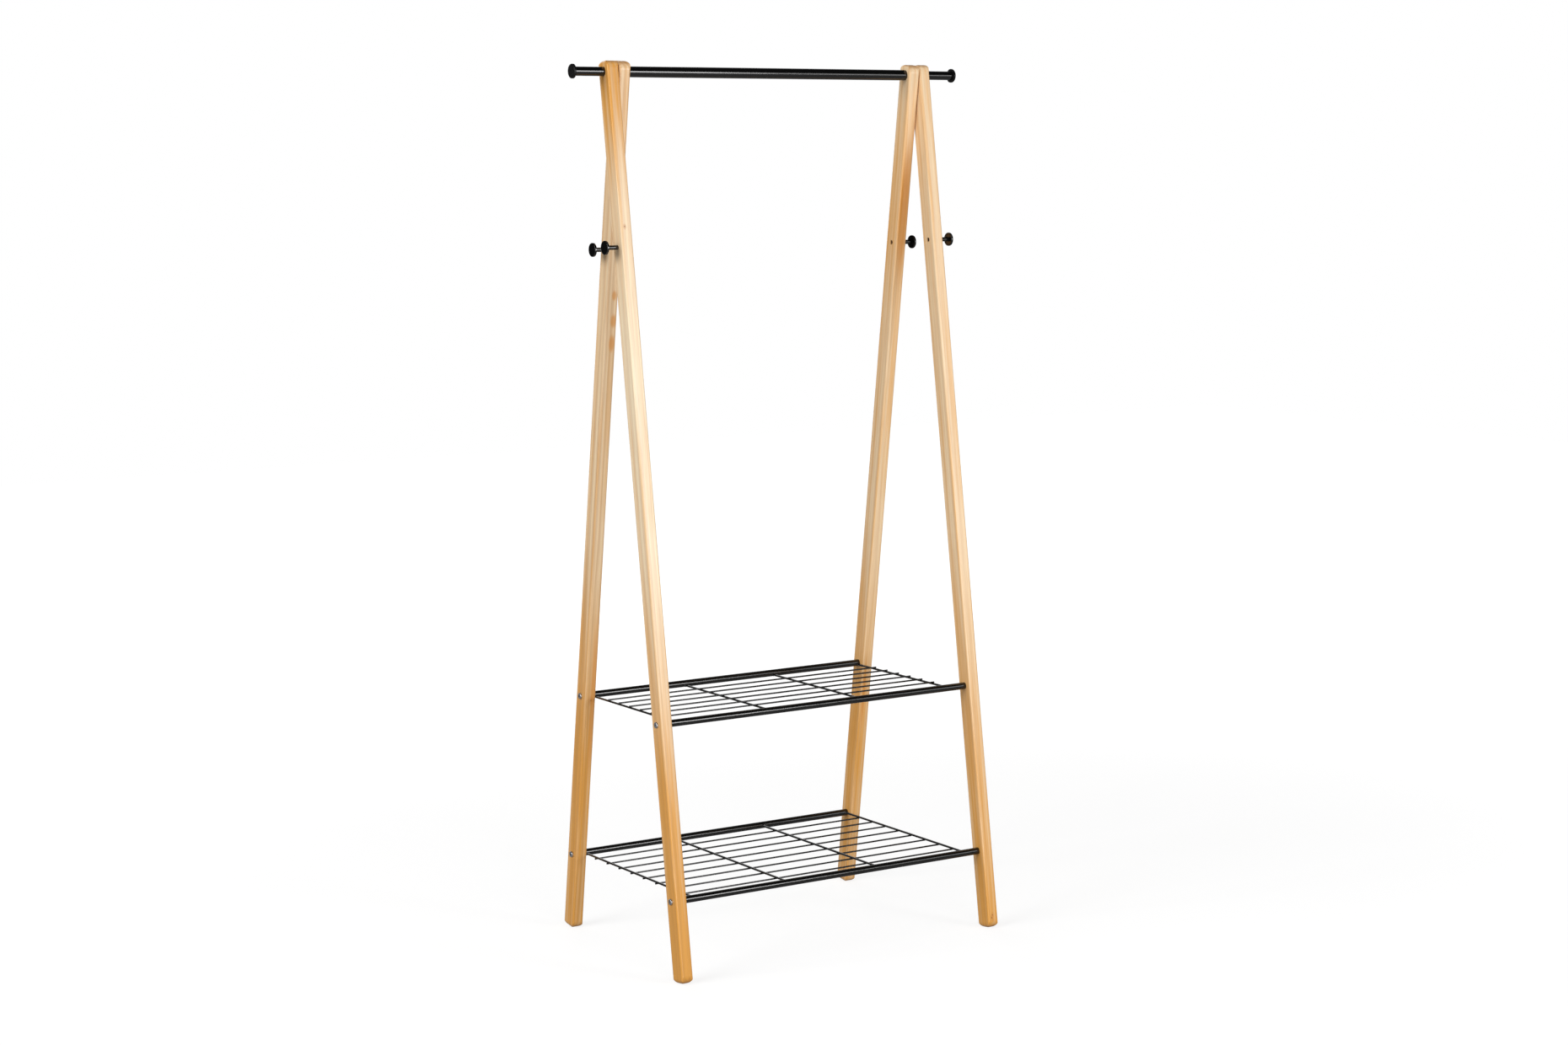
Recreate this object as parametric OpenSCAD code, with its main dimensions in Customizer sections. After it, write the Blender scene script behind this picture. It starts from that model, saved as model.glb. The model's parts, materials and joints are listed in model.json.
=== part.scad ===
// A-frame clothes rack: four pine legs crossed on a steel rail, four coat
// pegs and two welded wire shelves. Millimetres, Z up, X along the rail,
// the front legs at -Y, the floor at Z = 0 and the origin under the rail.

/* [Frame] */
// Height of the rail's axis above the floor
rail_height = 1554; // [1300:1:1800]
// Distance along Y between the front and back legs' centre lines at the floor
foot_spread = 436; // [340:1:560]
// Width over the outer faces of the two front legs
frame_w = 675; // [500:1:1000]

/* [Legs] */
// Thickness of a leg along the rail
leg_t = 22; // [19:0.5:30]
// Depth of a leg across the rail
leg_d = 32.5; // [29:0.5:50]
// Rounding of a leg's four long edges
leg_edge_r = 3; // [1:0.5:5]
// How far a leg reaches past the rail's axis
leg_top = 18.5; // [14.5:0.5:30]
// Rounding of a leg's top, seen from the side
top_side_r = 14; // [4:0.5:14]
// Rounding of a leg's top, seen from the front
top_front_r = 5.5; // [2:0.5:7]
// Rounding of a foot, seen from the side
foot_side_r = 14; // [5:0.5:14]
// Rounding of a foot, seen from the front
foot_front_r = 9; // [2:0.5:9]
// How much is worn flat under the rounded foot
foot_flat = 0.5; // [0.5:0.1:3]

/* [Rail] */
// Outer diameter of the sleeve between the back legs
sleeve_d = 19; // [18:0.5:32]
// Outer diameter of the rod that runs through all four legs
rod_d = 16; // [12:0.5:17]
// Wall of the rod
rod_wall = 1.5; // [1:0.1:3]
// Length of rod that shows between a front leg and its end cap
rod_reach = 58.5; // [20:0.5:150]
// Diameter of an end cap
cap_d = 25; // [20:0.5:40]
// Thickness of an end cap's flange
cap_t = 4; // [3:0.5:10]
// Rounding of an end cap's outer edge
cap_r = 1.5; // [0.5:0.1:2.5]
// Length of an end cap's plug inside the rod
cap_plug = 14; // [8:1:30]
// Thickness of the washer between a front leg and a back leg
washer_t = 1; // [0.5:0.5:8]
// Outer diameter of that washer
washer_d = 26; // [22:1:34]

/* [Pegs] */
// Drop of the pegs' axes below the rail's axis, midway between front and back
peg_drop = 302; // [180:1:600]
// How much higher the front pegs sit than the back pegs
peg_stagger = 6; // [0:1:30]
// How far a peg stands out from its leg, over its disc
peg_reach = 26.5; // [20:0.5:60]
// Diameter of a peg's stem
peg_stem_d = 8; // [7:0.5:14]
// Diameter of a peg's disc
peg_disc_d = 24.5; // [18:0.5:40]
// Thickness of a peg's disc
peg_disc_t = 4; // [2.5:0.5:8]
// Rounding of the disc's two edges
peg_disc_r = 1; // [0.4:0.1:1.2]
// Diameter of the screw that holds a peg
peg_screw_d = 4; // [3:0.5:5]
// Depth of the threaded hole in a peg
peg_hole_depth = 12; // [6:1:15]
// Gap between the screw's tip and the bottom of that hole
peg_tip_gap = 1; // [0.5:0.5:3]
// Diameter of that screw's head
peg_screw_head_d = 7.5; // [6:0.5:9]
// Thickness of that screw's head
peg_screw_head_t = 2.4; // [1.5:0.1:4]
// How deep the head lies below the leg's inner face
peg_screw_sunk = 2.5; // [0:0.1:3]

/* [Shelves] */
// Height of the lower shelf's tubes above the floor
lower_height = 140.5; // [90:0.5:220]
// Height of the upper shelf's tubes above the floor
upper_height = 442; // [330:1:700]
// Outer diameter of a shelf tube
tube_d = 12.7; // [10:0.1:20]
// Wall of a shelf tube
tube_wall = 1; // [0.8:0.1:2]
// Diameter of the cross wires, which run from tube to tube
cross_d = 4; // [2:0.1:5]
// Number of cross wires in a shelf
cross_count = 4; // [2:1:8]
// Diameter of the long wires, which run along the rail
long_d = 3; // [1.5:0.1:4]
// Number of long wires in the lower shelf
lower_long_count = 8; // [3:1:14]
// Distance from a lower tube's axis to the nearest long wire
lower_long_margin = 45.5; // [15:0.5:90]
// Number of long wires in the upper shelf
upper_long_count = 6; // [3:1:12]
// Distance from an upper tube's axis to the nearest long wire
upper_long_margin = 61.5; // [15:0.5:90]
// How far the long wires stick out past the last cross wire
long_overhang = 2.5; // [2:0.5:12]
// Gap between the long wires' ends and the back legs
long_end_gap = 1; // [0.5:0.5:20]
// How far the wires bite into each other at a weld
weld_bite = 0.8; // [0.1:0.1:1]
// How far the plane where the wires meet lies below the tubes' axes
mat_drop = 1.5; // [0:0.1:2]

/* [Shelf bolts] */
// Diameter of a shelf bolt
bolt_d = 6; // [4:0.5:8]
// Diameter of a shelf bolt's head
bolt_head_d = 11; // [9:0.5:15]
// Height of a shelf bolt's head
bolt_head_t = 3.2; // [2.5:0.1:6]
// Rounding of the head's edge
bolt_head_r = 1.6; // [0.4:0.1:2]
// Width across the corners of the head's hexagon socket
bolt_socket_d = 4.6; // [3:0.1:6]
// Depth of that socket
bolt_socket_depth = 1.8; // [1:0.1:2.2]
// Length of the threaded insert in a tube's end
insert_len = 18; // [12:1:40]
// How far a bolt reaches into its insert
bolt_grip = 14; // [8:1:36]

/* [Fits] */
// Radial clearance of the rod in the legs, sleeve and washers
rod_gap = 0.1; // [0.05:0.05:0.4]
// Radial clearance of bolts and screws in the legs
bolt_gap = 0.2; // [0.1:0.05:0.5]
// Radial clearance of a screw's head in its pocket
head_gap = 0.3; // [0.1:0.1:1]

/* [Hidden] */
$fn = 64;
// Overshoot that keeps a cut's end from lying on a face
cut = 1;
// Tilt of the legs from upright
lean = atan(foot_spread / 2 / rail_height);
// Centres of the front and back legs along X
front_x = frame_w / 2 - leg_t / 2;
back_x = front_x - leg_t - washer_t;
// Inner faces of the front and back legs
front_inner_x = front_x - leg_t / 2;
back_inner_x = back_x - leg_t / 2;
// Length of a leg below the rail's axis, to the tip of its rounded foot
foot_core = leg_d / 2 - foot_side_r;
leg_len = foot_side_r
  + (rail_height + foot_flat - foot_side_r - foot_core * sin(lean)) / cos(lean);
// Half the length of the rod, to the flange of each end cap
rod_half = frame_w / 2 + rod_reach;
// Half the length of a shelf's wire mat, and where its outer cross wires lie
mat_half = back_inner_x - long_end_gap;
cross_x = mat_half - long_overhang;
// Height between the axes of the cross wires and of the long wires
wire_step = (cross_d + long_d) / 2 - weld_bite;
// The long wires lie on top of the upper shelf's cross wires and under the lower shelf's
upper_side = 1;
lower_side = -1;

// Height of a leg's peg above the floor; back is 1 for a back leg and -1 for a front leg
function peg_height(back) = rail_height - peg_drop - back * peg_stagger / 2;
// Distance from the rail's axis down a leg to a given height
function down_leg(height) = (rail_height - height) / cos(lean);
// Distance of a leg's centre line from the rail's plane at a given height
function leg_y(height) = (rail_height - height) * tan(lean);

// A straight bar along X, from one place to another
module bar_x(x0, x1, d, y = 0, z = 0) {
  translate([x0, y, z])
    rotate([0, 90, 0])
      cylinder(h = x1 - x0, d = d);
}

// An upright strip with its own corner rounding at each end
module rounded_strip(width, low, high, low_r, high_r) {
  translate([-width / 2, low + low_r])
    square([width, high - high_r - low - low_r]);
  translate([-width / 2 + low_r, low])
    square([width - 2 * low_r, low_r]);
  translate([-width / 2 + high_r, high - high_r])
    square([width - 2 * high_r, high_r]);
  for (side = [-1, 1]) {
    translate([side * (width / 2 - low_r), low + low_r])
      circle(r = low_r);
    translate([side * (width / 2 - high_r), high - high_r])
      circle(r = high_r);
  }
}

// A leg's wood about the rail's axis, upright and without holes
module leg_blank() {
  intersection() {
    rotate([90, 0, 90])
      linear_extrude(height = leg_t, center = true)
        rounded_strip(leg_d, -leg_len, leg_top, foot_side_r, top_side_r);
    rotate([90, 0, 0])
      linear_extrude(height = leg_d, center = true)
        rounded_strip(leg_t, -leg_len, leg_top, foot_front_r, top_front_r);
    translate([0, 0, -leg_len])
      linear_extrude(height = leg_len + leg_top)
        rounded_strip(leg_t, -leg_d / 2, leg_d / 2, leg_edge_r, leg_edge_r);
  }
}

// A leg with its holes; outward is 1 or -1, the way its outer face looks, and
// peg_down is the distance from the rail's axis down the leg to its peg
module leg_with_holes(outward, peg_down) {
  difference() {
    leg_blank();
    bar_x(-leg_t / 2 - cut, leg_t / 2 + cut, rod_d + 2 * rod_gap);
    for (height = [lower_height, upper_height])
      bar_x(-leg_t / 2 - cut, leg_t / 2 + cut, bolt_d + 2 * bolt_gap,
            0, -down_leg(height));
    bar_x(-leg_t / 2 - cut, leg_t / 2 + cut, peg_screw_d + 2 * bolt_gap,
          0, -peg_down);
    translate([-outward * leg_t / 2, 0, -peg_down])
      rotate([0, outward * 90, 0])
        translate([0, 0, -cut])
          cylinder(h = cut + peg_screw_sunk + peg_screw_head_t,
                   d = peg_screw_head_d + 2 * head_gap);
  }
}

// A leg in its place; back is 1 for a back leg and -1 for a front leg
module leg(x, back) {
  color("burlywood")
    intersection() {
      translate([x, 0, rail_height])
        rotate([back * lean, 0, 0])
          leg_with_holes(sign(x), down_leg(peg_height(back)));
      translate([x - leg_t, -foot_spread, 0])
        cube([2 * leg_t, 2 * foot_spread, rail_height + 2 * leg_top]);
    }
}

module front_left_leg() { leg(-front_x, -1); }
module front_right_leg() { leg(front_x, -1); }
module back_left_leg() { leg(-back_x, 1); }
module back_right_leg() { leg(back_x, 1); }

module rail_rod() {
  color("dimgray")
    difference() {
      bar_x(-rod_half, rod_half, rod_d, 0, rail_height);
      bar_x(-rod_half - cut, rod_half + cut, rod_d - 2 * rod_wall, 0, rail_height);
    }
}

module rail_sleeve() {
  color("dimgray")
    difference() {
      bar_x(-back_inner_x, back_inner_x, sleeve_d, 0, rail_height);
      bar_x(-back_inner_x - cut, back_inner_x + cut, rod_d + 2 * rod_gap, 0, rail_height);
    }
}

// A turned disc along Z, rounded at its far edge or at both its edges
module turned_disc(d, t, r, both = false) {
  near = both ? r : 0;
  rotate_extrude() {
    square([d / 2 - r, t]);
    translate([0, near])
      square([d / 2, t - near - r]);
    translate([d / 2 - r, t - r])
      quarter_disc(r);
    if (both)
      translate([d / 2 - r, r])
        mirror([0, 1])
          quarter_disc(r);
  }
}

module quarter_disc(r) {
  intersection() {
    circle(r = r);
    square(r);
  }
}

// An end cap: a rounded flange on the rod's end and a plug inside the rod
module rail_cap(side) {
  color("black")
    translate([side * rod_half, 0, rail_height])
      rotate([0, side * 90, 0]) {
        turned_disc(cap_d, cap_t, cap_r);
        translate([0, 0, -cap_plug])
          cylinder(h = cap_plug, d = rod_d - 2 * rod_wall);
      }
}

module left_rail_cap() { rail_cap(-1); }
module right_rail_cap() { rail_cap(1); }

// The washer on the rod between a front leg and the back leg beside it
module leg_washer(side) {
  centre = side * (front_x + back_x) / 2;
  color("black")
    difference() {
      bar_x(centre - washer_t / 2, centre + washer_t / 2, washer_d, 0, rail_height);
      bar_x(centre - washer_t / 2 - cut, centre + washer_t / 2 + cut, rod_d + 2 * rod_gap,
            0, rail_height);
    }
}

module left_leg_washer() { leg_washer(-1); }
module right_leg_washer() { leg_washer(1); }

// Moves a peg's or its screw's own frame, in which Z points out of the leg,
// to the outer face of the leg at x; back is 1 or -1 as for a leg
module at_peg(x, back) {
  side = sign(x);
  translate([x + side * leg_t / 2, back * leg_y(peg_height(back)), peg_height(back)])
    rotate([0, side * 90, 0])
      children();
}

// A turned peg with a blind threaded hole for its screw
module peg(x, back) {
  stem_len = peg_reach - peg_disc_t;
  color("black")
    at_peg(x, back)
      difference() {
        union() {
          cylinder(h = stem_len, d = peg_stem_d);
          translate([0, 0, stem_len])
            turned_disc(peg_disc_d, peg_disc_t, peg_disc_r, both = true);
        }
        translate([0, 0, -cut])
          cylinder(h = cut + peg_hole_depth, d = peg_screw_d);
      }
}

module front_left_peg() { peg(-front_x, -1); }
module front_right_peg() { peg(front_x, -1); }
module back_left_peg() { peg(-back_x, 1); }
module back_right_peg() { peg(back_x, 1); }

// The screw that comes through the leg from its inner face
module peg_screw(x, back) {
  head_z = peg_screw_sunk - leg_t;
  socket_depth = peg_screw_head_t / 2;
  at_peg(x, back)
    difference() {
      union() {
        translate([0, 0, head_z])
          cylinder(h = peg_screw_head_t, d = peg_screw_head_d);
        translate([0, 0, head_z])
          cylinder(h = peg_hole_depth - peg_tip_gap - head_z, d = peg_screw_d);
      }
      translate([0, 0, head_z - cut])
        cylinder(h = cut + socket_depth, d = peg_screw_head_d / 2, $fn = 6);
    }
}

module peg_screws() {
  color("darkgray")
    for (side = [-1, 1]) {
      peg_screw(side * front_x, -1);
      peg_screw(side * back_x, 1);
    }
}

// A shelf tube between two legs' inner faces
module shelf_tube(half, y, z) {
  color("dimgray")
    difference() {
      bar_x(-half, half, tube_d, y, z);
      bar_x(-half - cut, half + cut, tube_d - 2 * tube_wall, y, z);
    }
}

module upper_front_tube() { shelf_tube(front_inner_x, -leg_y(upper_height), upper_height); }
module upper_back_tube() { shelf_tube(back_inner_x, leg_y(upper_height), upper_height); }
module lower_front_tube() { shelf_tube(front_inner_x, -leg_y(lower_height), lower_height); }
module lower_back_tube() { shelf_tube(back_inner_x, leg_y(lower_height), lower_height); }

// The cross wires as straight rods, from one tube's axis to the other's; side is
// 1 where the long wires lie on top of them and -1 where they lie under them
module cross_rods(height, side) {
  reach = leg_y(height);
  z = height - mat_drop - side * wire_step / 2;
  for (i = [0 : cross_count - 1])
    translate([-cross_x + i * 2 * cross_x / (cross_count - 1), -reach, z])
      rotate([-90, 0, 0])
        cylinder(h = 2 * reach, d = cross_d);
}

// The cross wires, cut to the curve of the tubes that they are welded to
module cross_wires(height, side) {
  reach = leg_y(height);
  color("dimgray")
    difference() {
      cross_rods(height, side);
      for (y = [-reach, reach])
        bar_x(-mat_half - cut, mat_half + cut, tube_d, y, height);
    }
}

// The long wires, notched where they bite into the cross wires; margin is the
// distance from a tube's axis to the first of them
module long_wires(height, count, margin, side) {
  first_y = margin - leg_y(height);
  pitch = -2 * first_y / (count - 1);
  z = height - mat_drop + side * wire_step / 2;
  color("dimgray")
    difference() {
      for (i = [0 : count - 1])
        bar_x(-mat_half, mat_half, long_d, first_y + i * pitch, z);
      cross_rods(height, side);
    }
}

module upper_cross_wires() { cross_wires(upper_height, upper_side); }
module upper_long_wires() {
  long_wires(upper_height, upper_long_count, upper_long_margin, upper_side);
}
module lower_cross_wires() { cross_wires(lower_height, lower_side); }
module lower_long_wires() {
  long_wires(lower_height, lower_long_count, lower_long_margin, lower_side);
}

// Calls its children at a shelf's four corners, Z pointing out along the tube
// from the inner face of the leg there
module at_shelf_corners(height) {
  for (side = [-1, 1]) {
    translate([side * front_inner_x, -leg_y(height), height])
      rotate([0, side * 90, 0])
        children();
    translate([side * back_inner_x, leg_y(height), height])
      rotate([0, side * 90, 0])
        children();
  }
}

module tube_inserts(height) {
  color("darkgray")
    at_shelf_corners(height)
      translate([0, 0, -insert_len])
        difference() {
          cylinder(h = insert_len, d = tube_d - 2 * tube_wall);
          translate([0, 0, -cut])
            cylinder(h = insert_len + 2 * cut, d = bolt_d);
        }
}

module upper_tube_inserts() { tube_inserts(upper_height); }
module lower_tube_inserts() { tube_inserts(lower_height); }

// A button-head bolt from the leg's outer face into the insert
module shelf_bolt() {
  difference() {
    union() {
      translate([0, 0, leg_t])
        turned_disc(bolt_head_d, bolt_head_t, bolt_head_r);
      translate([0, 0, -bolt_grip])
        cylinder(h = bolt_grip + leg_t, d = bolt_d);
    }
    translate([0, 0, leg_t + bolt_head_t - bolt_socket_depth])
      cylinder(h = bolt_socket_depth + cut, d = bolt_socket_d, $fn = 6);
  }
}

module shelf_bolts(height) {
  color("silver")
    at_shelf_corners(height)
      shelf_bolt();
}

module upper_shelf_bolts() { shelf_bolts(upper_height); }
module lower_shelf_bolts() { shelf_bolts(lower_height); }

front_left_leg();
front_right_leg();
back_left_leg();
back_right_leg();
rail_rod();
rail_sleeve();
left_rail_cap();
right_rail_cap();
left_leg_washer();
right_leg_washer();
front_left_peg();
front_right_peg();
back_left_peg();
back_right_peg();
peg_screws();
upper_front_tube();
upper_back_tube();
lower_front_tube();
lower_back_tube();
upper_cross_wires();
upper_long_wires();
lower_cross_wires();
lower_long_wires();
upper_tube_inserts();
lower_tube_inserts();
upper_shelf_bolts();
lower_shelf_bolts();
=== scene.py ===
# %% [markdown]
# # A-frame clothes rack
# Four pine legs cross in pairs on a black steel rail and carry four coat pegs and
# two welded wire shelves. The rack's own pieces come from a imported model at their
# real size. This script gives each of them its finish, adds the welds of the
# shelves, and sets a soft studio around the rack. Everything is in metres, with
# Z up, X along the rail and the front legs at -Y.

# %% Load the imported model
import json
import math
import bpy
from mathutils import Matrix, Vector


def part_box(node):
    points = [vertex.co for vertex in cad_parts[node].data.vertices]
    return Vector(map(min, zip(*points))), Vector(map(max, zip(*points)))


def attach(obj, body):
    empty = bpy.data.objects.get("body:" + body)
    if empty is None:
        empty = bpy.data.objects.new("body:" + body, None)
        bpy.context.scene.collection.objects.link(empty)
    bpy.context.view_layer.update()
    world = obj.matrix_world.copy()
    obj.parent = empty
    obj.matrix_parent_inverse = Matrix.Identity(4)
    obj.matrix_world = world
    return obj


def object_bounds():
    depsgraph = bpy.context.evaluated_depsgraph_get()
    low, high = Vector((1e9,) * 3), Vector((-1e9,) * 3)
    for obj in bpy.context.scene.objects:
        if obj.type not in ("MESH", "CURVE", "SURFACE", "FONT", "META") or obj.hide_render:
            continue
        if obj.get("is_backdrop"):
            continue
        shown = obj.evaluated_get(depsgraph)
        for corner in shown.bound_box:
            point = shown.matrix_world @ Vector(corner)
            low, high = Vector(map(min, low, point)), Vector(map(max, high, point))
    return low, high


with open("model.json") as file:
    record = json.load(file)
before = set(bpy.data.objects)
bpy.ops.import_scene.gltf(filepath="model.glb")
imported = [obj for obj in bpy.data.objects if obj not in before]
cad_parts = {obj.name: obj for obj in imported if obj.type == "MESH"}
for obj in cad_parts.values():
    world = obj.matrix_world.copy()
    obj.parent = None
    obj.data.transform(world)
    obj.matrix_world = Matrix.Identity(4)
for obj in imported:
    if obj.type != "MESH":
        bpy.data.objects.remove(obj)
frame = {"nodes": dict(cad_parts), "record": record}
nodes = frame["nodes"]
cad_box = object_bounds()
mounts = {m["name"]: Vector(m["pos_m"]) for m in frame["record"]["mounts"]}
print("pieces from the model:", len(nodes))

# %% [markdown]
# ## The camera
# The photograph was taken with a long lens from the left, a little below the rail.
# A camera at the place, turn and focal length that match the photograph's edges
# gives the same lines. Three turns make the pose: the yaw round Z, the pitch up or
# down, and the small roll round the line of sight.

# %% Set up the camera
PHOTO_W = 1860
FOCAL_PX = 3408.0
SENSOR_MM = 36.0
CAMERA_AT = Vector((-2.7710, -4.3464, 1.4059))
YAW, PITCH, ROLL = (math.radians(a) for a in (-32.75, -7.24, -0.35))

bpy.ops.object.select_all(action="DESELECT")
bpy.ops.object.camera_add()
camera = bpy.context.object
camera.name = "photo_camera"
camera.data.sensor_width = SENSOR_MM
camera.data.lens = SENSOR_MM * FOCAL_PX / PHOTO_W
camera.matrix_world = (
    Matrix.Translation(CAMERA_AT)
    @ Matrix.Rotation(YAW, 4, "Z")
    @ Matrix.Rotation(math.pi / 2 + PITCH, 4, "X")
    @ Matrix.Rotation(ROLL, 4, "Z")
)
bpy.context.scene.camera = camera
print("lens in mm:", round(camera.data.lens, 2))

# %% [markdown]
# ## Helpers for materials
# Colours are written as the hex codes that a screen shows, and the shader wants
# linear light, so one function converts them. Another one adds a node to a
# material, sets it and links it, which keeps each material readable from top to
# bottom.

# %% Helpers for colours and nodes
MM = 0.001
# A Mix node has sockets for each kind of data. These are the ones for colours.
MIX_FIRST, MIX_SECOND, MIXED = 6, 7, 2


def linear(hex_code):
    """An sRGB hex colour as linear red, green, blue and alpha."""
    shown = [int(hex_code[i:i + 2], 16) / 255 for i in (1, 3, 5)]
    light = [c / 12.92 if c <= 0.04045 else ((c + 0.055) / 1.055) ** 2.4 for c in shown]
    return light + [1.0]


def add_node(tree, kind, inputs=None, **settings):
    """Adds a node; each input is given a value or the socket that feeds it."""
    node = tree.nodes.new(kind)
    for name, value in settings.items():
        setattr(node, name, value)
    for socket, value in (inputs or {}).items():
        if isinstance(value, bpy.types.NodeSocket):
            tree.links.new(value, node.inputs[socket])
        else:
            node.inputs[socket].default_value = value
    return node


# %% Helpers for whole materials
def new_material(name, base, roughness, **constants):
    """A principled material with its constant values, its node tree and shader."""
    material = bpy.data.materials.new(name)
    material.use_nodes = True
    shader = material.node_tree.nodes["Principled BSDF"]
    shader.inputs["Base Color"].default_value = linear(base)
    shader.inputs["Roughness"].default_value = roughness
    for socket, value in constants.items():
        shader.inputs[socket.replace("_", " ")].default_value = value
    material.diffuse_color = linear(base)
    return material, material.node_tree, shader


def dress(names, material):
    """Gives the model's own pieces a material."""
    for name in names:
        nodes[name].material_slots[0].material = material


# %% [markdown]
# ## Wood that runs through a leg
# Each leg is planed from one length of pine. A picture of wood would repeat and
# slide over the edges, so the wood is built as a solid that the leg is cut from.
# Faces, rounded edges and end grain then agree with each other. The grain follows
# the leg, and the legs lean, so every pattern starts from the leg's own frame:
# upright, with its origin on the rail.

# %% Where a leg lies
rail = mounts["hanging_rail"]
peg_mount = mounts["front_left_hook"]
LEAN = math.atan2(-peg_mount.y, rail.z - peg_mount.z)
LEG_LENGTH = rail.z / math.cos(LEAN)


def leg_frame(name):
    """From a leg's own frame to its place on the rack."""
    low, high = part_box(name)
    turn = -LEAN if name.startswith("front") else LEAN
    place = Matrix.Translation(((low.x + high.x) / 2, 0, rail.z))
    return place @ Matrix.Rotation(turn, 4, "X")


print("lean in degrees:", round(math.degrees(LEAN), 3))

# %% From object coordinates to the leg's own
def grain_space(tree, name):
    """The place in the leg's own frame, in metres."""
    to_leg = leg_frame(name).inverted()
    spot = add_node(tree, "ShaderNodeTexCoord").outputs["Object"]
    return add_node(tree, "ShaderNodeMapping", {
        "Vector": spot, "Location": to_leg.to_translation(),
        "Rotation": to_leg.to_euler()}).outputs["Vector"]


# %% [markdown]
# ## Growth rings
# A tree's rings are cylinders round its pith. The pith lies beside the leg, as sawn
# boards have it, so the leg cuts the rings at a slant and they show as long lines
# and flames. Spring wood is pale and makes up most of a year, and summer wood is
# the amber line at its end. The wave texture draws such rings. Squeezed along the
# leg, its own distortion makes the lines wander slowly, as a trunk does.

# %% Rings
RING_WIDTH = 8.0 * MM
RING_WANDER = 7.0
WANDER_ACROSS = 26 * MM
WANDER_ALONG = 0.045
SUMMER_STARTS, SUMMER_PEAK = 0.25, 0.84
# The wave texture counts a full turn for every 20 units of its scaled distance.
RING_SCALE = 2 * math.pi / (20 * RING_WIDTH)


def summer_wood(tree, wood, pith_mm):
    """1 on the dark line at the end of a year and 0 in spring wood."""
    around = add_node(tree, "ShaderNodeMapping", {
        "Vector": wood, "Location": (-pith_mm[0] * MM, -pith_mm[1] * MM, 0),
        "Scale": (1, 1, WANDER_ALONG)})
    year = add_node(tree, "ShaderNodeTexWave", {
        "Vector": around.outputs[0], "Scale": RING_SCALE, "Distortion": RING_WANDER,
        "Detail": 2.0, "Detail Scale": 1 / (RING_SCALE * WANDER_ACROSS)},
        wave_type="RINGS", rings_direction="Z", wave_profile="SAW")
    line = add_node(tree, "ShaderNodeValToRGB", {"Fac": year.outputs["Fac"]})
    spring, summer = line.color_ramp.elements
    spring.position, spring.color = SUMMER_STARTS, (0, 0, 0, 1)
    summer.position, summer.color = SUMMER_PEAK, (1, 1, 1, 1)
    line.color_ramp.elements.new(1.0).color = (0, 0, 0, 1)
    return line.outputs["Color"]


print("rings across a leg of 22 mm:", 22 * MM / RING_WIDTH)

# %% [markdown]
# ## Tone, fibres and resin, with painted light and shade
# A board is never one colour. Its tone drifts along the leg, softer streaks of resin run
# with the grain, and the fibres show as fine lines. The tone along the leg is partly the
# wood's own and partly painted light: darker and more golden toward the foot as a painted
# falloff of light, with a painted sheen and a painted shadow at single places. Real fibres
# are 0.05 mm wide. They are drawn at about 1 mm, so that they show at all.

# %% Streaks and fibres
FIBRE_SIZE = Vector((1.0, 1.0, 60.0)) * MM
STREAK_SIZE = Vector((8.0, 8.0, 360.0)) * MM
STREAK_SPAN = (0.32, 0.70)
STREAK_TONE = (-0.21, 0.26)


def stretched_noise(tree, wood, size, detail):
    """Noise whose blotches have the given size along each axis of the leg."""
    squeezed = add_node(tree, "ShaderNodeMapping", {
        "Vector": wood, "Scale": [1 / s for s in size]})
    return add_node(tree, "ShaderNodeTexNoise", {
        "Vector": squeezed.outputs[0], "Scale": 1.0, "Detail": detail,
        "Roughness": 0.58}).outputs["Fac"]


print("streaks in mm:", [round(s / MM) for s in STREAK_SIZE])

# %% Tone along the leg, with painted light and shade
def board_tone_and_painted_light(tree, wood, tones_and_painted_light, streaks):
    """How golden the wood is: tones run evenly from the foot to the rail and hold painted
    light and shade as well as the wood's own tone.
    """
    height = add_node(tree, "ShaderNodeSeparateXYZ", {"Vector": wood}).outputs["Z"]
    along = add_node(tree, "ShaderNodeMapRange", {
        "Value": height, "From Min": -LEG_LENGTH, "From Max": 0.0})
    drift_and_painted_light = add_node(tree, "ShaderNodeValToRGB", {"Fac": along.outputs[0]})
    drift_and_painted_light.color_ramp.interpolation = "EASE"
    stops = drift_and_painted_light.color_ramp.elements
    while len(stops) < len(tones_and_painted_light):
        stops.new(len(stops) / len(tones_and_painted_light))
    for i, tone_and_painted_light in enumerate(tones_and_painted_light):
        stops[i].position = i / (len(tones_and_painted_light) - 1)
        stops[i].color = (tone_and_painted_light, tone_and_painted_light, tone_and_painted_light, 1)
    uneven = add_node(tree, "ShaderNodeMapRange", {
        "Value": streaks, "From Min": STREAK_SPAN[0], "From Max": STREAK_SPAN[1],
        "To Min": STREAK_TONE[0], "To Max": STREAK_TONE[1]},
        interpolation_type="SMOOTHSTEP")
    return add_node(tree, "ShaderNodeMath", {
        0: drift_and_painted_light.outputs["Color"], 1: uneven.outputs[0]}, operation="ADD").outputs[0]


# %% A soft spot inside the wood, for knots, resin and a painted shadow
def soft_spot(tree, wood, centre_mm, size_mm, core):
    """1 within the share core of an egg of that size and 0 outside the egg."""
    shrink = [1 / (s * MM) for s in size_mm]
    egg = add_node(tree, "ShaderNodeMapping", {
        "Vector": wood, "Scale": shrink,
        "Location": [-c * MM * s for c, s in zip(centre_mm, shrink)]})
    reach = add_node(tree, "ShaderNodeVectorMath", {0: egg.outputs[0]}, operation="LENGTH")
    return add_node(tree, "ShaderNodeMapRange", {
        "Value": reach.outputs["Value"], "From Min": 1.0, "From Max": core},
        interpolation_type="SMOOTHSTEP").outputs[0]
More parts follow.
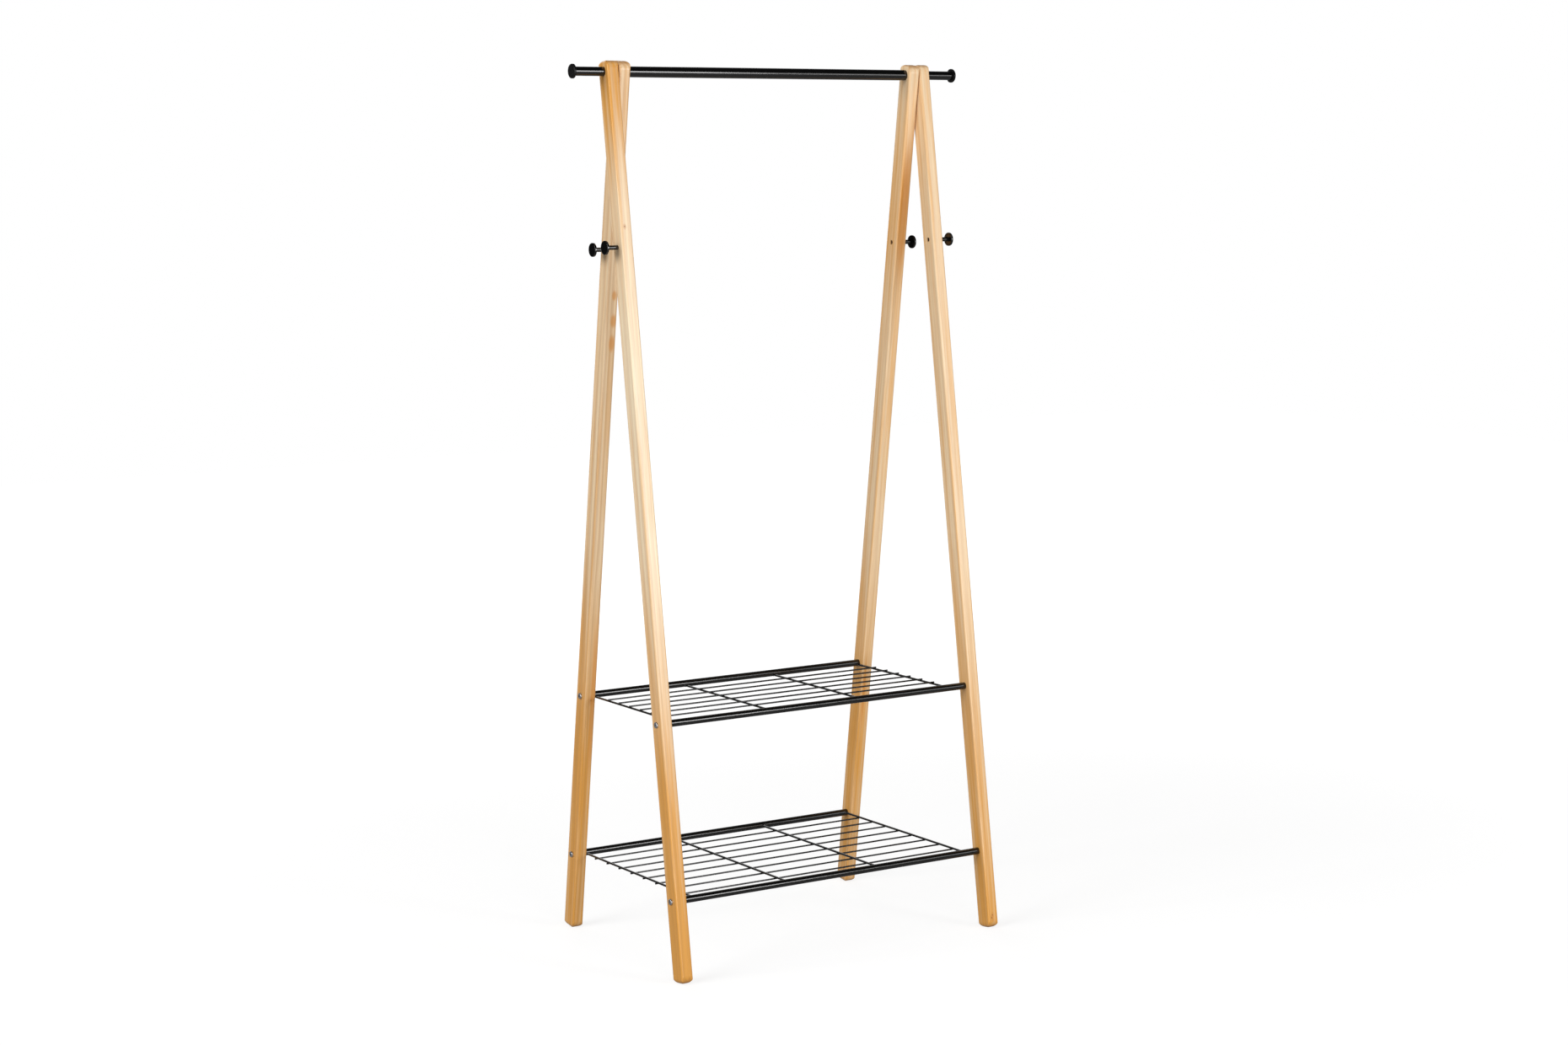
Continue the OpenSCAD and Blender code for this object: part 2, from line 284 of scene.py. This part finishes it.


# %% [markdown]
# ## Clear-lacquered pine
# The planed legs are sprayed with a clear satin lacquer. It deepens the wood a
# little and lays one even sheen over it, so the base needs no second coat: the
# shader's own reflection at the IOR of lacquer is that sheen. End grain drinks more
# lacquer than the sides and is darker. The lacquer sinks between the hard summer
# lines, which dulls and ripples it very slightly.

# %% Colours of pine, with painted sheen and shade in them
# The pale colour is partly the wood's and partly a painted sheen, and the golden colour is
# partly the wood's and partly painted shade.
PINE_PALE_AND_SHEEN = "#F7E3C2"
PINE_GOLD_AND_SHADE = "#DFA04C"
SUMMER_WOOD = "#B47C42"
# The resin colour also paints a shadow on the back right leg.
RESIN_AND_SHADOW = "#D98F3A"
KNOT_HEART = "#7A4620"
KNOT_HALO = "#C58443"
END_GRAIN = "#B98246"
print("golden to pale:", PINE_GOLD_AND_SHADE, PINE_PALE_AND_SHEEN)


def tint(tree, colour, factor, hex_code, share):
    """Blends a share of a second colour over the first where the factor is 1."""
    amount = add_node(tree, "ShaderNodeMath", {0: factor, 1: share}, operation="MULTIPLY")
    return add_node(tree, "ShaderNodeMix", {
        "Factor": amount.outputs[0], MIX_FIRST: colour, MIX_SECOND: linear(hex_code)},
        data_type="RGBA").outputs[MIXED]


# %% Knots, resin and a painted shadow
# In millimetres: half the leg's depth, so the marks lie on its front face.
FRONT_FACE_Y = -16.0
HALO_REACH, HALO_LENGTH, HALO_SHARE = 3.6, 6, 0.55
HEART_LENGTH, HEART_SHARE = 1.3, 0.85
RESIN_AND_SHADOW_SHARE = 0.7


def marked_wood(tree, wood, colour, knots, resin_and_shadow):
    """A knot is (x, distance below the rail, radius) on the leg's front face and a resin
    mark is (x, distance below the rail, half width, half length). The same marks paint one
    shadow in the wood's colour, on the back right leg."""
    for x, below, size in knots:
        centre = (x, FRONT_FACE_Y, -below)
        reach = HALO_REACH * size
        halo = soft_spot(tree, wood, centre, (reach, reach, HALO_LENGTH * size), 0.2)
        colour = tint(tree, colour, halo, KNOT_HALO, HALO_SHARE)
        heart = soft_spot(tree, wood, centre, (size, size, HEART_LENGTH * size), 0.5)
        colour = tint(tree, colour, heart, KNOT_HEART, HEART_SHARE)
    for x, below, wide, long in resin_and_shadow:
        mark = soft_spot(tree, wood, (x, FRONT_FACE_Y, -below), (wide, wide, long), 0.35)
        # One of these marks, on the back right leg, is a painted shadow in the resin's
        # colour.
        colour = tint(tree, colour, mark, RESIN_AND_SHADOW, RESIN_AND_SHADOW_SHARE)
    return colour


# %% End grain
# The cosine of the angle between the surface's normal and the leg.
ACROSS_STARTS, ACROSS_FULL = 0.4, 0.95
END_SHARE = 0.7


def end_grain(tree, name):
    """1 where the surface is cut across the leg."""
    facing = add_node(tree, "ShaderNodeNewGeometry").outputs["Normal"]
    leg_axis = leg_frame(name).to_3x3() @ Vector((0, 0, 1))
    along = add_node(tree, "ShaderNodeVectorMath", {0: facing, 1: leg_axis},
                     operation="DOT_PRODUCT")
    steep = add_node(tree, "ShaderNodeMath", {0: along.outputs["Value"]},
                     operation="ABSOLUTE")
    return add_node(tree, "ShaderNodeMapRange", {
        "Value": steep.outputs[0], "From Min": ACROSS_STARTS, "From Max": ACROSS_FULL},
        interpolation_type="SMOOTHSTEP").outputs[0]


# %% The pine of one leg
FIBRE_SPAN, FIBRE_SHARE = (0.5, 0.78), 0.22
LACQUER_ROUGHNESS = (0.26, 0.34)
RING_RELIEF, RELIEF_HEIGHT = 0.5, 0.06 * MM


def lacquered_pine(name, pith_mm, ring_share, tones_and_painted_light, knots, resin_and_shadow):
    material, tree, shader = new_material(
        f"Clear-lacquered pine, {name.replace('_', ' ')}", PINE_PALE_AND_SHEEN, 0.3,
        IOR=1.5, Specular_IOR_Level=0.42)
    wood = grain_space(tree, name)
    streaks = stretched_noise(tree, wood, STREAK_SIZE, 3.0)
    fibres = stretched_noise(tree, wood, FIBRE_SIZE, 2.0)
    summer = summer_wood(tree, wood, pith_mm)
    # This tone holds painted light: a darker golden foot, a painted sheen on the front left
    # leg and a painted shadow on the back right leg.
    tone_and_painted_light = board_tone_and_painted_light(tree, wood, tones_and_painted_light, streaks)
    colour = add_node(tree, "ShaderNodeMix", {
        "Factor": tone_and_painted_light, MIX_FIRST: linear(PINE_PALE_AND_SHEEN), MIX_SECOND: linear(PINE_GOLD_AND_SHADE)},
        data_type="RGBA").outputs[MIXED]
    colour = tint(tree, colour, summer, SUMMER_WOOD, ring_share)
    fine = add_node(tree, "ShaderNodeMapRange", {
        "Value": fibres, "From Min": FIBRE_SPAN[0], "From Max": FIBRE_SPAN[1]},
        interpolation_type="SMOOTHSTEP")
    colour = tint(tree, colour, fine.outputs[0], SUMMER_WOOD, FIBRE_SHARE)
    colour = marked_wood(tree, wood, colour, knots, resin_and_shadow)
    colour = tint(tree, colour, end_grain(tree, name), END_GRAIN, END_SHARE)
    tree.links.new(colour, shader.inputs["Base Color"])
    gloss = add_node(tree, "ShaderNodeMapRange", {
        "Value": fibres, "From Min": 0.3, "From Max": 0.7,
        "To Min": LACQUER_ROUGHNESS[0], "To Max": LACQUER_ROUGHNESS[1]})
    tree.links.new(gloss.outputs[0], shader.inputs["Roughness"])
    relief = add_node(tree, "ShaderNodeMath", {0: summer, 1: RING_RELIEF, 2: fibres},
                      operation="MULTIPLY_ADD")
    bump = add_node(tree, "ShaderNodeBump", {
        "Height": relief.outputs[0], "Strength": 0.25, "Distance": RELIEF_HEIGHT})
    tree.links.new(bump.outputs["Normal"], shader.inputs["Normal"])
    return material


# %% Dress the legs
# Each leg: its pith beside the leg (x, y), how strong its rings are, its tones from foot to
# rail, in which painted light and shade are mixed, its knots and its resin marks, one of
# which is a painted shadow, as the photograph shows them.
LEGS = {
    # Toward the foot every leg's tones turn darker and more golden, partly wood and partly
    # a painted falloff of light. The front left leg's palest stop, a third of the way down
    # from the rail, is a painted sheen.
    "front_left_leg": ((-46, 30), 0.22, (1.22, 0.90, 0.48, 0.24, 0.04, 0.34, 0.95),
                       [(-3, 268, 1.2), (4, 1562, 1.0)], []),
    "front_right_leg": ((38, -52), 0.14, (0.92, 0.72, 0.52, 0.43, 0.38, 0.46, 0.42),
                        [(-3, 1551, 1.4), (-1, 1546, 1.1)], []),
    "back_left_leg": ((58, 34), 0.34, (0.84, 0.94, 0.67, 0.40, 0.32, 0.36, 0.50),
                      [(2, 1128, 2.2)],
                      [(5, 1130, 6, 190), (3, 387, 6, 12), (4, 432, 8, 16),
                       (3, 472, 8, 20)]),
    # On the back right leg, the second tone stop from the rail and the wide mark 250 mm
    # below the rail are a painted shadow of the front right leg.
    "back_right_leg": ((-30, -64), 0.16, (0.70, 0.84, 0.56, 0.44, 0.43, 0.74, 0.38), [],
                       [(-4, 1180, 5, 90), (0, 250, 12, 160)]),
}
for leg, settings in LEGS.items():
    dress([leg], lacquered_pine(leg, *settings))
print("legs dressed:", len(LEGS))

# %% [markdown]
# ## Black powder-coated steel
# The rail, the shelf tubes, the wires and the pegs are steel with a baked-on black
# powder. The powder flows together into a smooth skin with a faint orange peel. It
# is no mirror and not matt either: a lamp shows as one soft bright line along a
# tube.

# %% Powder coat
PEEL_WIDTH = 1.6 * MM
CLOUD_WIDTH = 40 * MM
PEEL_HEIGHT = 0.01 * MM
COAT_DARK, COAT_LIGHT = "#060606", "#0B0B0B"
COAT_ROUGHNESS = (0.12, 0.16)


def powder_coat():
    material, tree, shader = new_material(
        "Black powder-coated steel", "#080808", 0.14, IOR=1.5, Specular_IOR_Level=0.6)
    spot = add_node(tree, "ShaderNodeTexCoord").outputs["Object"]
    peel = add_node(tree, "ShaderNodeTexNoise", {
        "Vector": spot, "Scale": 1 / PEEL_WIDTH, "Detail": 1.5, "Roughness": 0.5})
    cloud = add_node(tree, "ShaderNodeTexNoise", {
        "Vector": spot, "Scale": 1 / CLOUD_WIDTH, "Detail": 3.0, "Roughness": 0.6})
    shade = add_node(tree, "ShaderNodeMix", {
        "Factor": cloud.outputs["Fac"], MIX_FIRST: linear(COAT_DARK),
        MIX_SECOND: linear(COAT_LIGHT)}, data_type="RGBA")
    tree.links.new(shade.outputs[MIXED], shader.inputs["Base Color"])
    gloss = add_node(tree, "ShaderNodeMapRange", {
        "Value": cloud.outputs["Fac"], "From Min": 0.3, "From Max": 0.7,
        "To Min": COAT_ROUGHNESS[0], "To Max": COAT_ROUGHNESS[1]})
    tree.links.new(gloss.outputs[0], shader.inputs["Roughness"])
    bump = add_node(tree, "ShaderNodeBump", {
        "Height": peel.outputs["Fac"], "Strength": 0.02, "Distance": PEEL_HEIGHT})
    tree.links.new(bump.outputs["Normal"], shader.inputs["Normal"])
    return material


# %% Dress the steel
coat = powder_coat()
SHELVES = ("upper", "lower")
TUBES = [f"{shelf}_{side}_tube" for shelf in SHELVES for side in ("front", "back")]
WIRES = [f"{shelf}_{kind}_wires" for shelf in SHELVES for kind in ("cross", "long")]
PEGS = [f"{end}_{side}_peg" for end in ("front", "back") for side in ("left", "right")]
dress(["rail_rod", "rail_sleeve"] + TUBES + WIRES + PEGS, coat)
print("powder-coated pieces:", 2 + len(TUBES + WIRES + PEGS))

# %% [markdown]
# ## Black moulded plastic
# The rail's end caps and the washers between the legs are moulded polyamide. The
# mould's steel was spark-eroded, which leaves a fine even grain and less gloss than
# the powder coat has.

# %% Moulded plastic
GRAIN_WIDTH = 0.7 * MM
GRAIN_HEIGHT = 0.02 * MM
PLASTIC_DARK, PLASTIC_LIGHT = "#080808", "#0F0F0F"
PLASTIC_ROUGHNESS = (0.32, 0.44)


def moulded_plastic():
    material, tree, shader = new_material(
        "Black moulded polyamide", "#0A0A0A", 0.38, IOR=1.53, Specular_IOR_Level=0.22)
    spot = add_node(tree, "ShaderNodeTexCoord").outputs["Object"]
    grain = add_node(tree, "ShaderNodeTexNoise", {
        "Vector": spot, "Scale": 1 / GRAIN_WIDTH, "Detail": 2.0, "Roughness": 0.6})
    shade = add_node(tree, "ShaderNodeMix", {
        "Factor": grain.outputs["Fac"], MIX_FIRST: linear(PLASTIC_DARK),
        MIX_SECOND: linear(PLASTIC_LIGHT)}, data_type="RGBA")
    tree.links.new(shade.outputs[MIXED], shader.inputs["Base Color"])
    dull = add_node(tree, "ShaderNodeMapRange", {
        "Value": grain.outputs["Fac"], "To Min": PLASTIC_ROUGHNESS[0],
        "To Max": PLASTIC_ROUGHNESS[1]})
    tree.links.new(dull.outputs[0], shader.inputs["Roughness"])
    bump = add_node(tree, "ShaderNodeBump", {
        "Height": grain.outputs["Fac"], "Strength": 0.2, "Distance": GRAIN_HEIGHT})
    tree.links.new(bump.outputs["Normal"], shader.inputs["Normal"])
    return material


MOULDED = ["left_rail_cap", "right_rail_cap", "left_leg_washer", "right_leg_washer"]
dress(MOULDED, moulded_plastic())
print("moulded pieces:", len(MOULDED))

# %% [markdown]
# ## Zinc-plated steel, and peg screws painted with shade
# Bolts and inserts are cold-headed steel with a thin bright layer of zinc. It is a metal,
# so its colour comes from what it reflects, and small clouds in its roughness tell it from
# chrome. The peg screws lie deep in their holes, and their dark brown is painted shade of
# those holes, on a rough surface that is no metal.

# %% Zinc plate, and painted shade for the peg screws
SPANGLE_WIDTH = 1.5 * MM


def plated_steel(name, dark, light, dull_from, dull_to, metallic):
    material, tree, shader = new_material(name, light, dull_to, Metallic=metallic)
    spot = add_node(tree, "ShaderNodeTexCoord").outputs["Object"]
    cloud = add_node(tree, "ShaderNodeTexNoise", {
        "Vector": spot, "Scale": 1 / SPANGLE_WIDTH, "Detail": 3.0, "Roughness": 0.6})
    shade = add_node(tree, "ShaderNodeMix", {
        "Factor": cloud.outputs["Fac"], MIX_FIRST: linear(dark),
        MIX_SECOND: linear(light)}, data_type="RGBA")
    tree.links.new(shade.outputs[MIXED], shader.inputs["Base Color"])
    gloss = add_node(tree, "ShaderNodeMapRange", {
        "Value": cloud.outputs["Fac"], "To Min": dull_from, "To Max": dull_to})
    tree.links.new(gloss.outputs[0], shader.inputs["Roughness"])
    return material


PLATED = [f"{shelf}_{kind}" for shelf in SHELVES
          for kind in ("tube_inserts", "shelf_bolts")]
dress(PLATED, plated_steel(
    "Bright zinc-plated steel", dark="#A4A5A9", light="#CCCCCE",
    dull_from=0.28, dull_to=0.44, metallic=1.0))
# The peg screws' dark brown, rough and not metallic, is painted shade of their deep holes.
dress(["peg_screws"], plated_steel(
    "Steel darkened with painted hole shade", dark="#1C1714", light="#2E2621",
    dull_from=0.5, dull_to=0.65, metallic=0.0))
print("plated pieces:", len(PLATED), "and the peg screws")

# %% [markdown]
# ## Welds
# On the real shelves each cross wire ends in a small weld on both tubes, and a spot
# weld holds every long wire to every cross wire. The welds lie under the same
# powder coat, which rounds them. One lump is modelled, a ball pressed flat whose
# skin a displacement makes uneven, and copies of it go where the wires meet. The
# places are read from the model's own wires and tubes.

# %% Where the wires meet
def middle_and_radius(name):
    """The middle of a piece's box and half its height, its radius for a wire."""
    low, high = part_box(name)
    return (low + high) / 2, (high.z - low.z) / 2


def spread(low, high, radius, count):
    """The axes of wires that fill the span evenly."""
    step = (high - low - 2 * radius) / (count - 1)
    return [low + radius + i * step for i in range(count)]


CROSS_COUNT = 4
LONG_COUNT = {"upper": 6, "lower": 8}
TUBE_WELD = Vector((2.9, 2.0, 2.8)) * MM
SPOT_WELD = Vector((2.3, 2.3, 1.0)) * MM


def weld_places(shelf):
    """The middle and size of each weld of a shelf."""
    cross, cross_r = middle_and_radius(f"{shelf}_cross_wires")
    long, long_r = middle_and_radius(f"{shelf}_long_wires")
    low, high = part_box(f"{shelf}_cross_wires")
    xs = spread(low.x, high.x, cross_r, CROSS_COUNT)
    low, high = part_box(f"{shelf}_long_wires")
    ys = spread(low.y, high.y, long_r, LONG_COUNT[shelf])
    level = cross.z + (long.z - cross.z) * cross_r / (cross_r + long_r)
    places = [((x, y, level), SPOT_WELD) for x in xs for y in ys]
    for side, inward in (("front", 1), ("back", -1)):
        tube, tube_r = middle_and_radius(f"{shelf}_{side}_tube")
        skin = math.sqrt(tube_r ** 2 - (cross.z - tube.z) ** 2)
        places += [((x, tube.y + inward * skin, cross.z), TUBE_WELD) for x in xs]
    return places


print("welds:", {shelf: len(weld_places(shelf)) for shelf in SHELVES})

# %% One weld
bpy.ops.object.select_all(action="DESELECT")
bpy.ops.mesh.primitive_uv_sphere_add(segments=20, ring_count=12, radius=1.0)
lump = bpy.context.object
lump.name = "weld_lump"
bpy.ops.object.mode_set(mode="EDIT")
bpy.ops.mesh.select_all(action="SELECT")
bpy.ops.mesh.subdivide(number_cuts=1, smoothness=1.0)
bpy.ops.object.mode_set(mode="OBJECT")
uneven = bpy.data.textures.new("Weld ripple", "CLOUDS")
uneven.noise_scale = 0.8
ripple = lump.modifiers.new("Uneven skin", "DISPLACE")
ripple.texture = uneven
ripple.strength = 0.25
bpy.ops.object.modifier_apply(modifier=ripple.name)
bpy.ops.object.shade_smooth()
print("faces of a weld:", len(lump.data.polygons))

# %% All welds of a shelf
# Each copy is turned by the golden angle, so that no two neighbours look alike.
WELD_TURN = 2.4

for shelf in SHELVES:
    copies = []
    for turn, (at, size) in enumerate(weld_places(shelf)):
        weld = bpy.data.objects.new("weld", lump.data.copy())
        bpy.context.collection.objects.link(weld)
        weld.data.transform(Matrix.Translation(at) @ Matrix.Diagonal((*size, 1.0))
                            @ Matrix.Rotation(turn * WELD_TURN, 4, "Z"))
        copies.append(weld)
    bpy.ops.object.select_all(action="DESELECT")
    for weld in copies:
        weld.select_set(True)
    bpy.context.view_layer.objects.active = copies[0]
    bpy.ops.object.join()
    welds = bpy.context.object
    welds.name = f"{shelf}_shelf_welds"
    welds.data.materials.append(coat)
    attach(welds, "root")
    print(welds.name, len(welds.data.polygons))
bpy.data.objects.remove(lump)

# %% [markdown]
# ## The floor and the room
# The rack stands on a plain white floor before a white backdrop. Their colour alone
# would render a little grey, so the camera and the reflections see them with some
# light of their own, while the light that they send to the rack, and the rack's
# shadow, stay true. The rest of the room is dim, as a studio is, so that black
# steel mirrors white only where the backdrop stands and stays black elsewhere. Far
# from the rack the lamps reach the floor less, so its own light rises there.

# %% Rays that see the background
def seen_share(tree, mirrored_share):
    """1 for rays from the camera, a share for reflections, 0 for light on its way."""
    ray = add_node(tree, "ShaderNodeLightPath").outputs
    mirrored = add_node(tree, "ShaderNodeMath", {
        0: ray["Is Glossy Ray"], 1: ray["Is Transmission Ray"]}, operation="MAXIMUM")
    return add_node(tree, "ShaderNodeMath", {
        0: mirrored.outputs[0], 1: mirrored_share, 2: ray["Is Camera Ray"]},
        operation="MULTIPLY_ADD", use_clamp=True).outputs[0]


# %% Floor
FLOOR_SIZE = 16.0
GLOW_NEAR, GLOW_FAR = 0.79, 0.97
NEAR, FAR = 1.0, 4.0
FLOOR_MIRRORED = 0.1

bpy.ops.object.select_all(action="DESELECT")
bpy.ops.mesh.primitive_plane_add(size=FLOOR_SIZE)
floor = bpy.context.object
floor.name = "floor"
floor_paint, tree, shader = new_material("White studio floor", "#929292", 0.9)
shader.inputs["Specular IOR Level"].default_value = 0.0
shader.inputs["Emission Color"].default_value = linear("#FFFFFF")
spot = add_node(tree, "ShaderNodeTexCoord").outputs["Object"]
away = add_node(tree, "ShaderNodeVectorMath", {0: spot}, operation="LENGTH")
level = add_node(tree, "ShaderNodeMapRange", {
    "Value": away.outputs["Value"], "From Min": NEAR, "From Max": FAR,
    "To Min": GLOW_NEAR, "To Max": GLOW_FAR}, interpolation_type="SMOOTHSTEP")
glow = add_node(tree, "ShaderNodeMath", {
    0: seen_share(tree, FLOOR_MIRRORED), 1: level.outputs[0]}, operation="MULTIPLY")
tree.links.new(glow.outputs[0], shader.inputs["Emission Strength"])
floor.data.materials.append(floor_paint)
floor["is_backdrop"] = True
print("floor in metres:", FLOOR_SIZE)

# %% Backdrop and room
AMBIENT = 0.26
DIM_ROOM = "#303030"
BACKDROP_MIRRORED = 0.4
# The backdrop stands behind the rack, where the camera looks. These are cosines of
# the angle from its middle.
BACKDROP_WAY = Vector((-math.sin(YAW), math.cos(YAW), 0))
BACKDROP_EDGE, BACKDROP_FULL = 0.62, 0.88

world = bpy.data.worlds.new("White studio")
world.use_nodes = True
bpy.context.scene.world = world
tree = world.node_tree
air = tree.nodes["Background"]
direction = add_node(tree, "ShaderNodeTexCoord").outputs["Generated"]
toward = add_node(tree, "ShaderNodeVectorMath", {
    0: direction, 1: BACKDROP_WAY}, operation="DOT_PRODUCT")
backdrop = add_node(tree, "ShaderNodeMapRange", {
    "Value": toward.outputs["Value"], "From Min": BACKDROP_EDGE, "From Max": BACKDROP_FULL},
    interpolation_type="SMOOTHSTEP")
ray = add_node(tree, "ShaderNodeLightPath").outputs
mirrored = add_node(tree, "ShaderNodeMath", {
    0: ray["Is Glossy Ray"], 1: ray["Is Transmission Ray"]}, operation="MAXIMUM")
straight = add_node(tree, "ShaderNodeMath", {
    0: 1.0, 1: mirrored.outputs[0]}, operation="SUBTRACT")
white = add_node(tree, "ShaderNodeMath", {
    0: backdrop.outputs[0], 1: straight.outputs[0]}, operation="MAXIMUM")
shade = add_node(tree, "ShaderNodeMix", {
    "Factor": white.outputs[0], MIX_FIRST: linear(DIM_ROOM),
    MIX_SECOND: linear("#FFFFFF")}, data_type="RGBA")
tree.links.new(shade.outputs[MIXED], air.inputs["Color"])
level = add_node(tree, "ShaderNodeMapRange", {
    "Value": seen_share(tree, BACKDROP_MIRRORED), "To Min": AMBIENT, "To Max": 1.0})
tree.links.new(level.outputs[0], air.inputs["Strength"])
print("light from all round:", AMBIENT)

# %% [markdown]
# ## The lamps
# A softbox with a weaker wing stands to the right of the camera. They draw the
# bright line on the tubes and the sheen on the front legs, and their place was
# worked out from where those lines lie. A low fill beside the camera and a high
# panel on the left open the legs' front and side faces, and a weak one lights the
# back.

# %% Softboxes
def softbox(name, at, target, width, height, watts):
    bpy.ops.object.select_all(action="DESELECT")
    bpy.ops.object.light_add(type="AREA", location=at)
    lamp = bpy.context.object
    lamp.name = name
    lamp.rotation_euler = (Vector(target) - Vector(at)).to_track_quat("-Z", "Y").to_euler()
    lamp.data.shape = "RECTANGLE"
    lamp.data.size = width
    lamp.data.size_y = height
    lamp.data.energy = watts


# Each lamp: where it stands, what it is turned to, its width, height and watts.
LAMPS = {
    "key_softbox": ((2.05, -4.3, 1.6), (0, 0, 0.95), 1.0, 1.7, 60),
    "key_wing": ((3.05, -3.7, 1.6), (0, 0, 0.95), 1.0, 1.6, 14),
    "front_fill": ((-1.0, -5.0, 0.9), (0, 0, 0.7), 2.2, 1.5, 116),
    "left_panel": ((-7.5, -0.7, 4.2), (0, 0, 1.2), 5.0, 5.0, 440),
    "back_panel": ((0.6, 4.0, 1.8), (0, 0, 0.8), 3.0, 3.0, 40),
}
for name, settings in LAMPS.items():
    softbox(name, *settings)
print("lamps:", len(LAMPS))

# %% Measure the growth and finish
bpy.context.scene.view_settings.view_transform = "Standard"
new_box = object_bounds()
growth = [(n - c) / MM for new, cad in zip(new_box, cad_box) for n, c in zip(new, cad)]
print("grown by in mm:", [round(g, 2) for g in growth])
